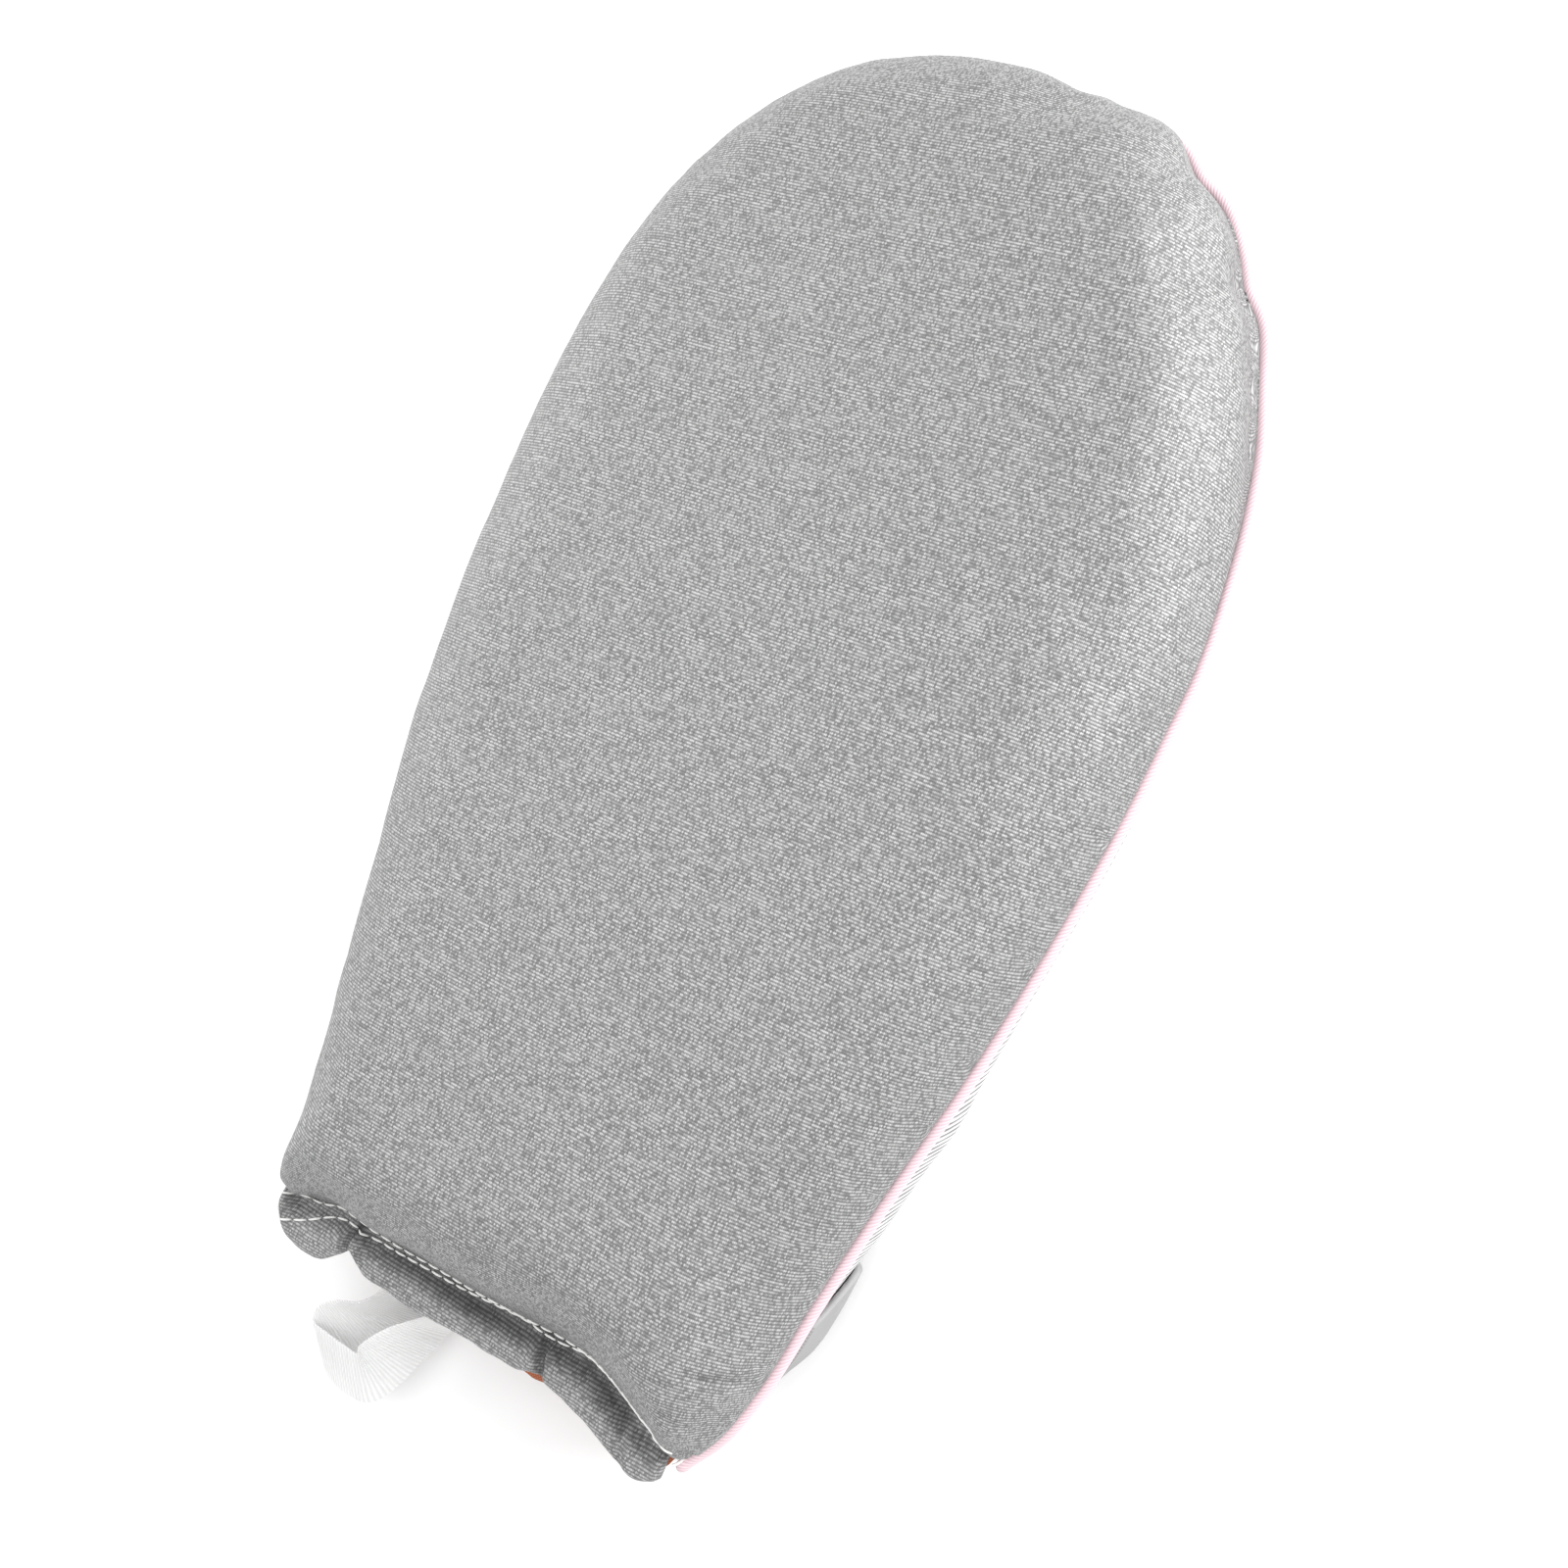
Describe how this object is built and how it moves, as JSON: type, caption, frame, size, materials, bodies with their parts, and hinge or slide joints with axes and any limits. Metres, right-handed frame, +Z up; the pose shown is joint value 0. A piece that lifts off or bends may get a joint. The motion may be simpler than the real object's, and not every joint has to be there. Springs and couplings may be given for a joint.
{
  "type": "ironing glove",
  "caption": "Padded silver-faced mitt with a mesh back and wrist strap, worn on one hand and held behind cloth while it is ironed or steamed.",
  "frame": {"origin": "on the flat underside of the back that the glove rests on, at mid-width and mid-length", "axes": "+Y along the glove from the open cuff to the tip, +Z up through the silver ironing face, +X to the right seen from above"},
  "size_m": [0.1594, 0.3192, 0.0393],
  "materials": {
    "silver_cover": "silver-coated plain weave",
    "lining_cloth": "plain terracotta cloth",
    "mesh_knit": "white ribbed knitted mesh",
    "piping_satin": "pink satin piping",
    "strap_cloth": "smooth grey elastic",
    "ribbon": "white ribbed ribbon"
  },
  "bodies": {
    "root": {"front_pad": "silver_cover", "front_hem": "silver_cover", "lining": "lining_cloth", "back_panel": "mesh_knit", "piping": "piping_satin", "wrist_strap": "strap_cloth", "hang_loop": "ribbon"}
  },
  "joints": []
}
